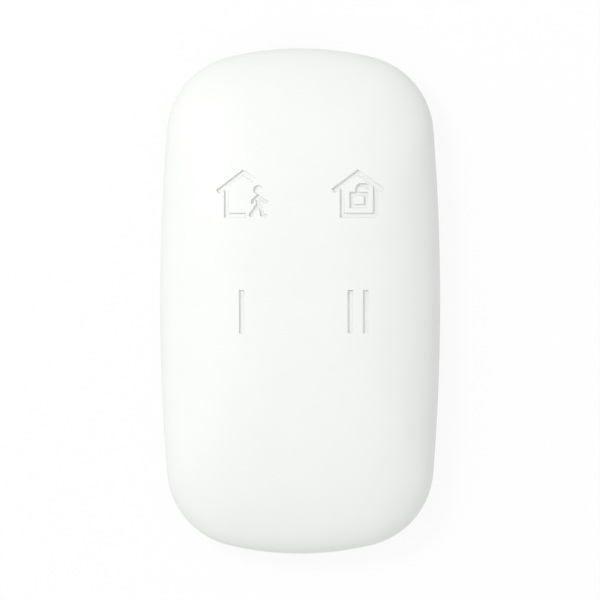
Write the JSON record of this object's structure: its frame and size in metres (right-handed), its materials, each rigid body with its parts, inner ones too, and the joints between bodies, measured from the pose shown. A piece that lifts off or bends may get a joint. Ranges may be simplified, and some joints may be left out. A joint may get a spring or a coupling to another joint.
{
  "type": "alarm key fob",
  "caption": "Pebble-shaped white alarm key fob with a soft seamless face, press keys, a coin-turned battery door and a lanyard bar.",
  "frame": {"origin": "on the back face, under the middle of the outline", "axes": "+Z out of the face through the keys, +Y towards the lanyard end, +X to the right seen from the face"},
  "size_m": [0.0388, 0.07, 0.013],
  "materials": {
    "soft_skin": "fine matte, soft to the touch",
    "frame_plastic": "moulded, satin",
    "rear_plastic": "moulded, fine spark texture",
    "plunger_plastic": "moulded, satin",
    "stem_plastic": "moulded, satin",
    "seal_rubber": "matte",
    "board_laminate": "solder mask, satin",
    "switch_plastic": "moulded, matte",
    "chip_plastic": "moulded, matte",
    "component_ceramic": "fired ceramic, satin",
    "capacitor_yellow": "moulded, satin",
    "cell_steel": "nickel plated, fine brushing",
    "contact_metal": "nickel plated spring strip",
    "shield_tin": "tin plated sheet",
    "antenna_copper": "bare copper alloy strip",
    "screw_steel": "zinc plated"
  },
  "bodies": {
    "housing": {"circuit_board": "board_laminate", "coin_cell": "cell_steel", "contact_negative": "contact_metal", "contact_positive": "contact_metal", "controller_chip": "chip_plastic", "crystal": "shield_tin", "front_frame": "frame_plastic", "front_skin": "soft_skin", "housing_screws": "screw_steel", "lanyard_bar": "screw_steel", "loop_antenna": "antenna_copper", "radio_chip": "chip_plastic", "radio_shield": "shield_tin", "rear_shell": "rear_plastic", "seam_seal": "seal_rubber", "small_components": "component_ceramic", "supply_capacitor": "capacitor_yellow", "switch_bodies": "switch_plastic", "switch_dome_away": "contact_metal", "switch_dome_disarm": "contact_metal", "switch_dome_one": "contact_metal", "switch_dome_two": "contact_metal"},
    "key_away": {"key_pad_away": "soft_skin", "plunger_away": "plunger_plastic", "switch_stem_away": "stem_plastic"},
    "key_disarm": {"key_pad_disarm": "soft_skin", "plunger_disarm": "plunger_plastic", "switch_stem_disarm": "stem_plastic"},
    "key_one": {"key_pad_one": "soft_skin", "plunger_one": "plunger_plastic", "switch_stem_one": "stem_plastic"},
    "key_two": {"key_pad_two": "soft_skin", "plunger_two": "plunger_plastic", "switch_stem_two": "stem_plastic"},
    "battery_door": {"battery_door": "rear_plastic", "door_seal": "seal_rubber"}
  },
  "joints": [
    {"name": "key_away_press", "type": "slide", "parent": "housing", "child": "key_away", "axis": [0, 0, -1], "range_m": [0, 0.0003], "stiffness_N_per_m": 6000, "deforming": ["switch_dome_away"]},
    {"name": "key_disarm_press", "type": "slide", "parent": "housing", "child": "key_disarm", "axis": [0, 0, -1], "range_m": [0, 0.0003], "stiffness_N_per_m": 6000, "deforming": ["switch_dome_disarm"]},
    {"name": "key_one_press", "type": "slide", "parent": "housing", "child": "key_one", "axis": [0, 0, -1], "range_m": [0, 0.0003], "stiffness_N_per_m": 6000, "deforming": ["switch_dome_one"]},
    {"name": "key_two_press", "type": "slide", "parent": "housing", "child": "key_two", "axis": [0, 0, -1], "range_m": [0, 0.0003], "stiffness_N_per_m": 6000, "deforming": ["switch_dome_two"]},
    {"name": "battery_door_turn", "type": "hinge", "parent": "housing", "child": "battery_door", "pos_m": [0, -0.017, 0], "axis": [0, 0, -1], "range_deg": [0, 30]}
  ]
}
